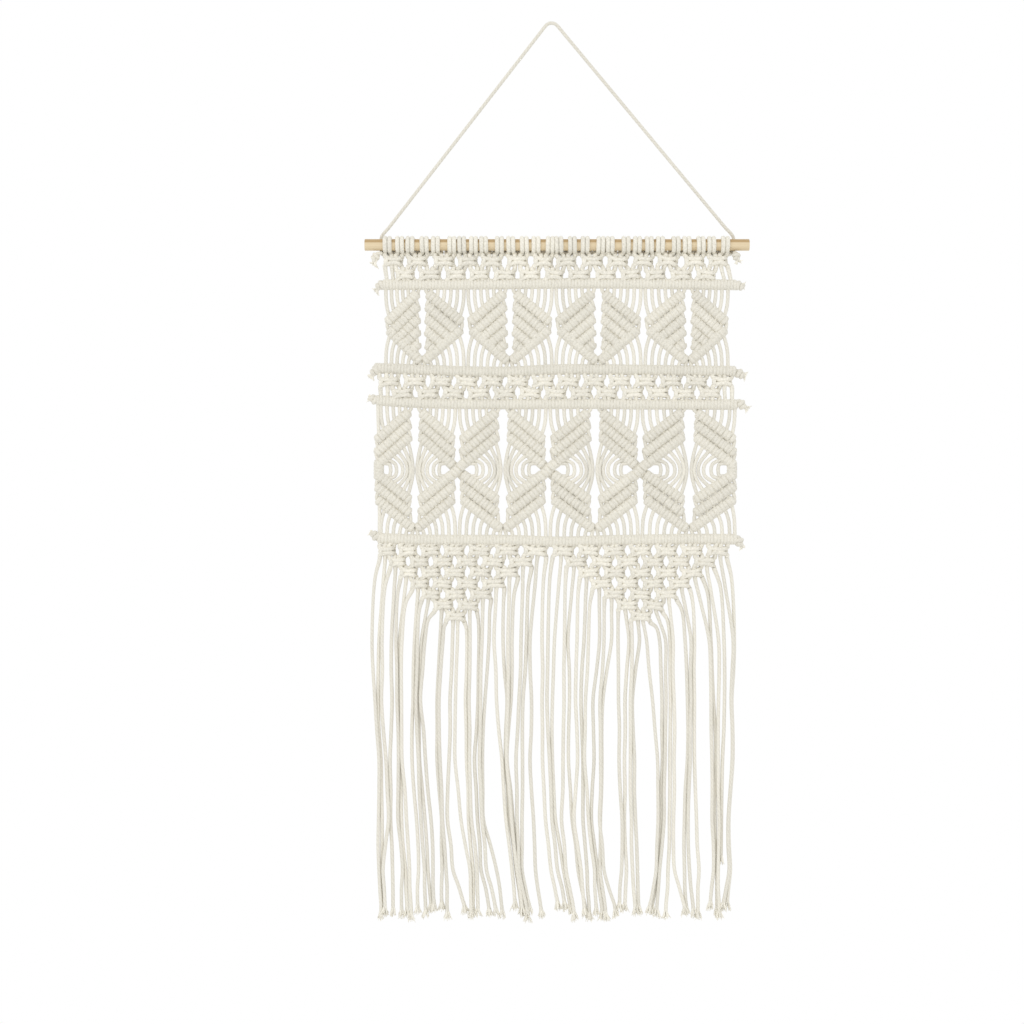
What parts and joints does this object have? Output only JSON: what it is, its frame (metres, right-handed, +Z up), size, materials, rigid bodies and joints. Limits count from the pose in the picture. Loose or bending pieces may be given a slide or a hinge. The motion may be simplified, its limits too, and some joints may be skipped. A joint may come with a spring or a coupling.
{
  "type": "macrame wall hanging on a wooden rod",
  "caption": "Knotted cotton net with leaf motifs, hitch bars and stepped knot triangles, with a long fringe below, on a round wooden rod with a hanging cord.",
  "frame": {"origin": "the point on the nail or hook where the hanging cord rests at its apex, under the cord", "axes": "+Z up; the front, which faces into the room, is -Y; +X is to the right seen from the front"},
  "size_m": [0.4, 0.0196, 0.9366],
  "materials": {
    "wood": "bare sanded dowel, matt",
    "cotton": "natural twisted cotton cord, matt"
  },
  "bodies": {
    "root": {"rod": "wood", "hanging_cord": "cotton", "cord_tail_left": "cotton", "cord_tail_right": "cotton", "heading_loop_01": "cotton", "heading_loop_02": "cotton", "heading_loop_03": "cotton", "heading_loop_04": "cotton", "heading_loop_05": "cotton", "heading_loop_06": "cotton", "heading_loop_07": "cotton", "heading_loop_08": "cotton", "heading_loop_09": "cotton", "heading_loop_10": "cotton", "heading_loop_11": "cotton", "heading_loop_12": "cotton", "heading_loop_13": "cotton", "heading_loop_14": "cotton", "heading_loop_15": "cotton", "heading_loop_16": "cotton", "heading_loop_17": "cotton", "heading_loop_18": "cotton", "heading_loop_19": "cotton", "heading_loop_20": "cotton", "heading_loop_21": "cotton", "heading_loop_22": "cotton", "heading_loop_23": "cotton", "heading_loop_24": "cotton", "heading_loop_25": "cotton", "heading_loop_26": "cotton", "heading_loop_27": "cotton", "heading_loop_28": "cotton", "knot_band_top": "cotton", "knot_band_middle": "cotton", "leaf_band_upper_1": "cotton", "leaf_band_upper_2": "cotton", "leaf_band_upper_3": "cotton", "leaf_band_upper_4": "cotton", "leaf_band_lower_1": "cotton", "leaf_band_lower_2": "cotton", "leaf_band_lower_3": "cotton", "leaf_band_lower_4": "cotton", "filler_bar_1": "cotton", "filler_bar_2": "cotton", "filler_bar_3": "cotton", "filler_bar_4": "cotton", "knot_triangle_left": "cotton", "knot_triangle_right": "cotton", "fringe": "cotton"}
  },
  "joints": []
}
